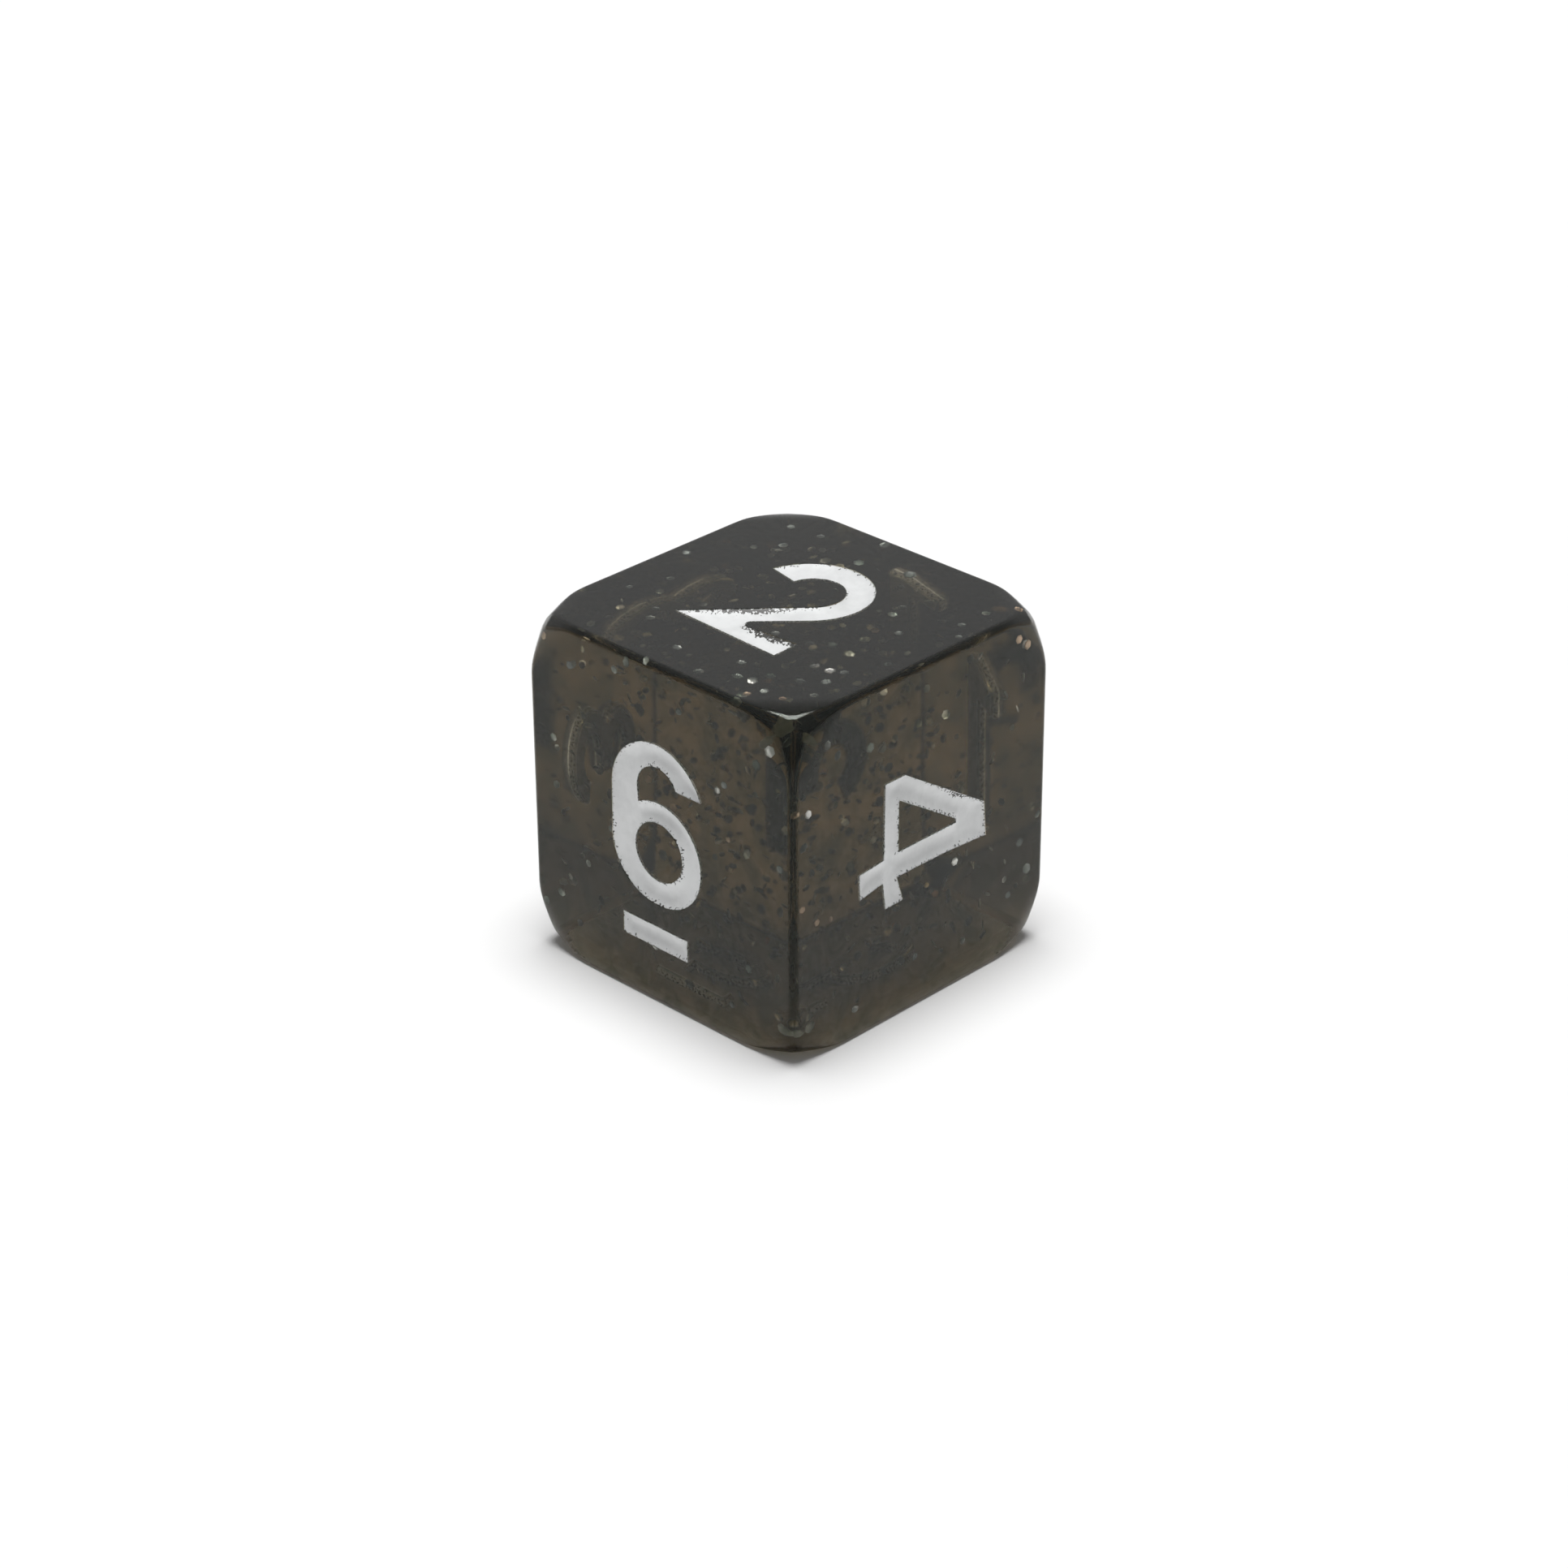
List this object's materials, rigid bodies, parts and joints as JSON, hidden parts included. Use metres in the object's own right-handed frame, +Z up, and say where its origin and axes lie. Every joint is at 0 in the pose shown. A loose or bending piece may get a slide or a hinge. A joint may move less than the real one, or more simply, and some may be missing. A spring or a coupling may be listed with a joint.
{
  "type": "polyhedral die",
  "caption": "Numbered six-sided die of smoke-tinted clear resin with turned-off corners, engraved white-filled numerals and glitter cast inside.",
  "frame": {"origin": "middle of the face that the die rests on, which is also the middle of the underside of its box", "axes": "+Z up out of the face numbered two, -Y out of the face numbered six, +X out of the face numbered four"},
  "size_m": [0.0154, 0.0154, 0.016],
  "materials": {
    "smoke_resin": "polished, clear, smoke tint",
    "white_paint": "satin enamel",
    "silver_foil": "bright foil",
    "copper_foil": "bright foil"
  },
  "bodies": {
    "root": {"die_body": "smoke_resin", "numeral_1_paint": "white_paint", "numeral_2_paint": "white_paint", "numeral_3_paint": "white_paint", "numeral_4_paint": "white_paint", "numeral_5_paint": "white_paint", "numeral_6_paint": "white_paint", "underline_6_paint": "white_paint", "silver_glitter_coarse": "silver_foil", "silver_glitter_fine": "silver_foil", "copper_glitter": "copper_foil"}
  },
  "joints": []
}
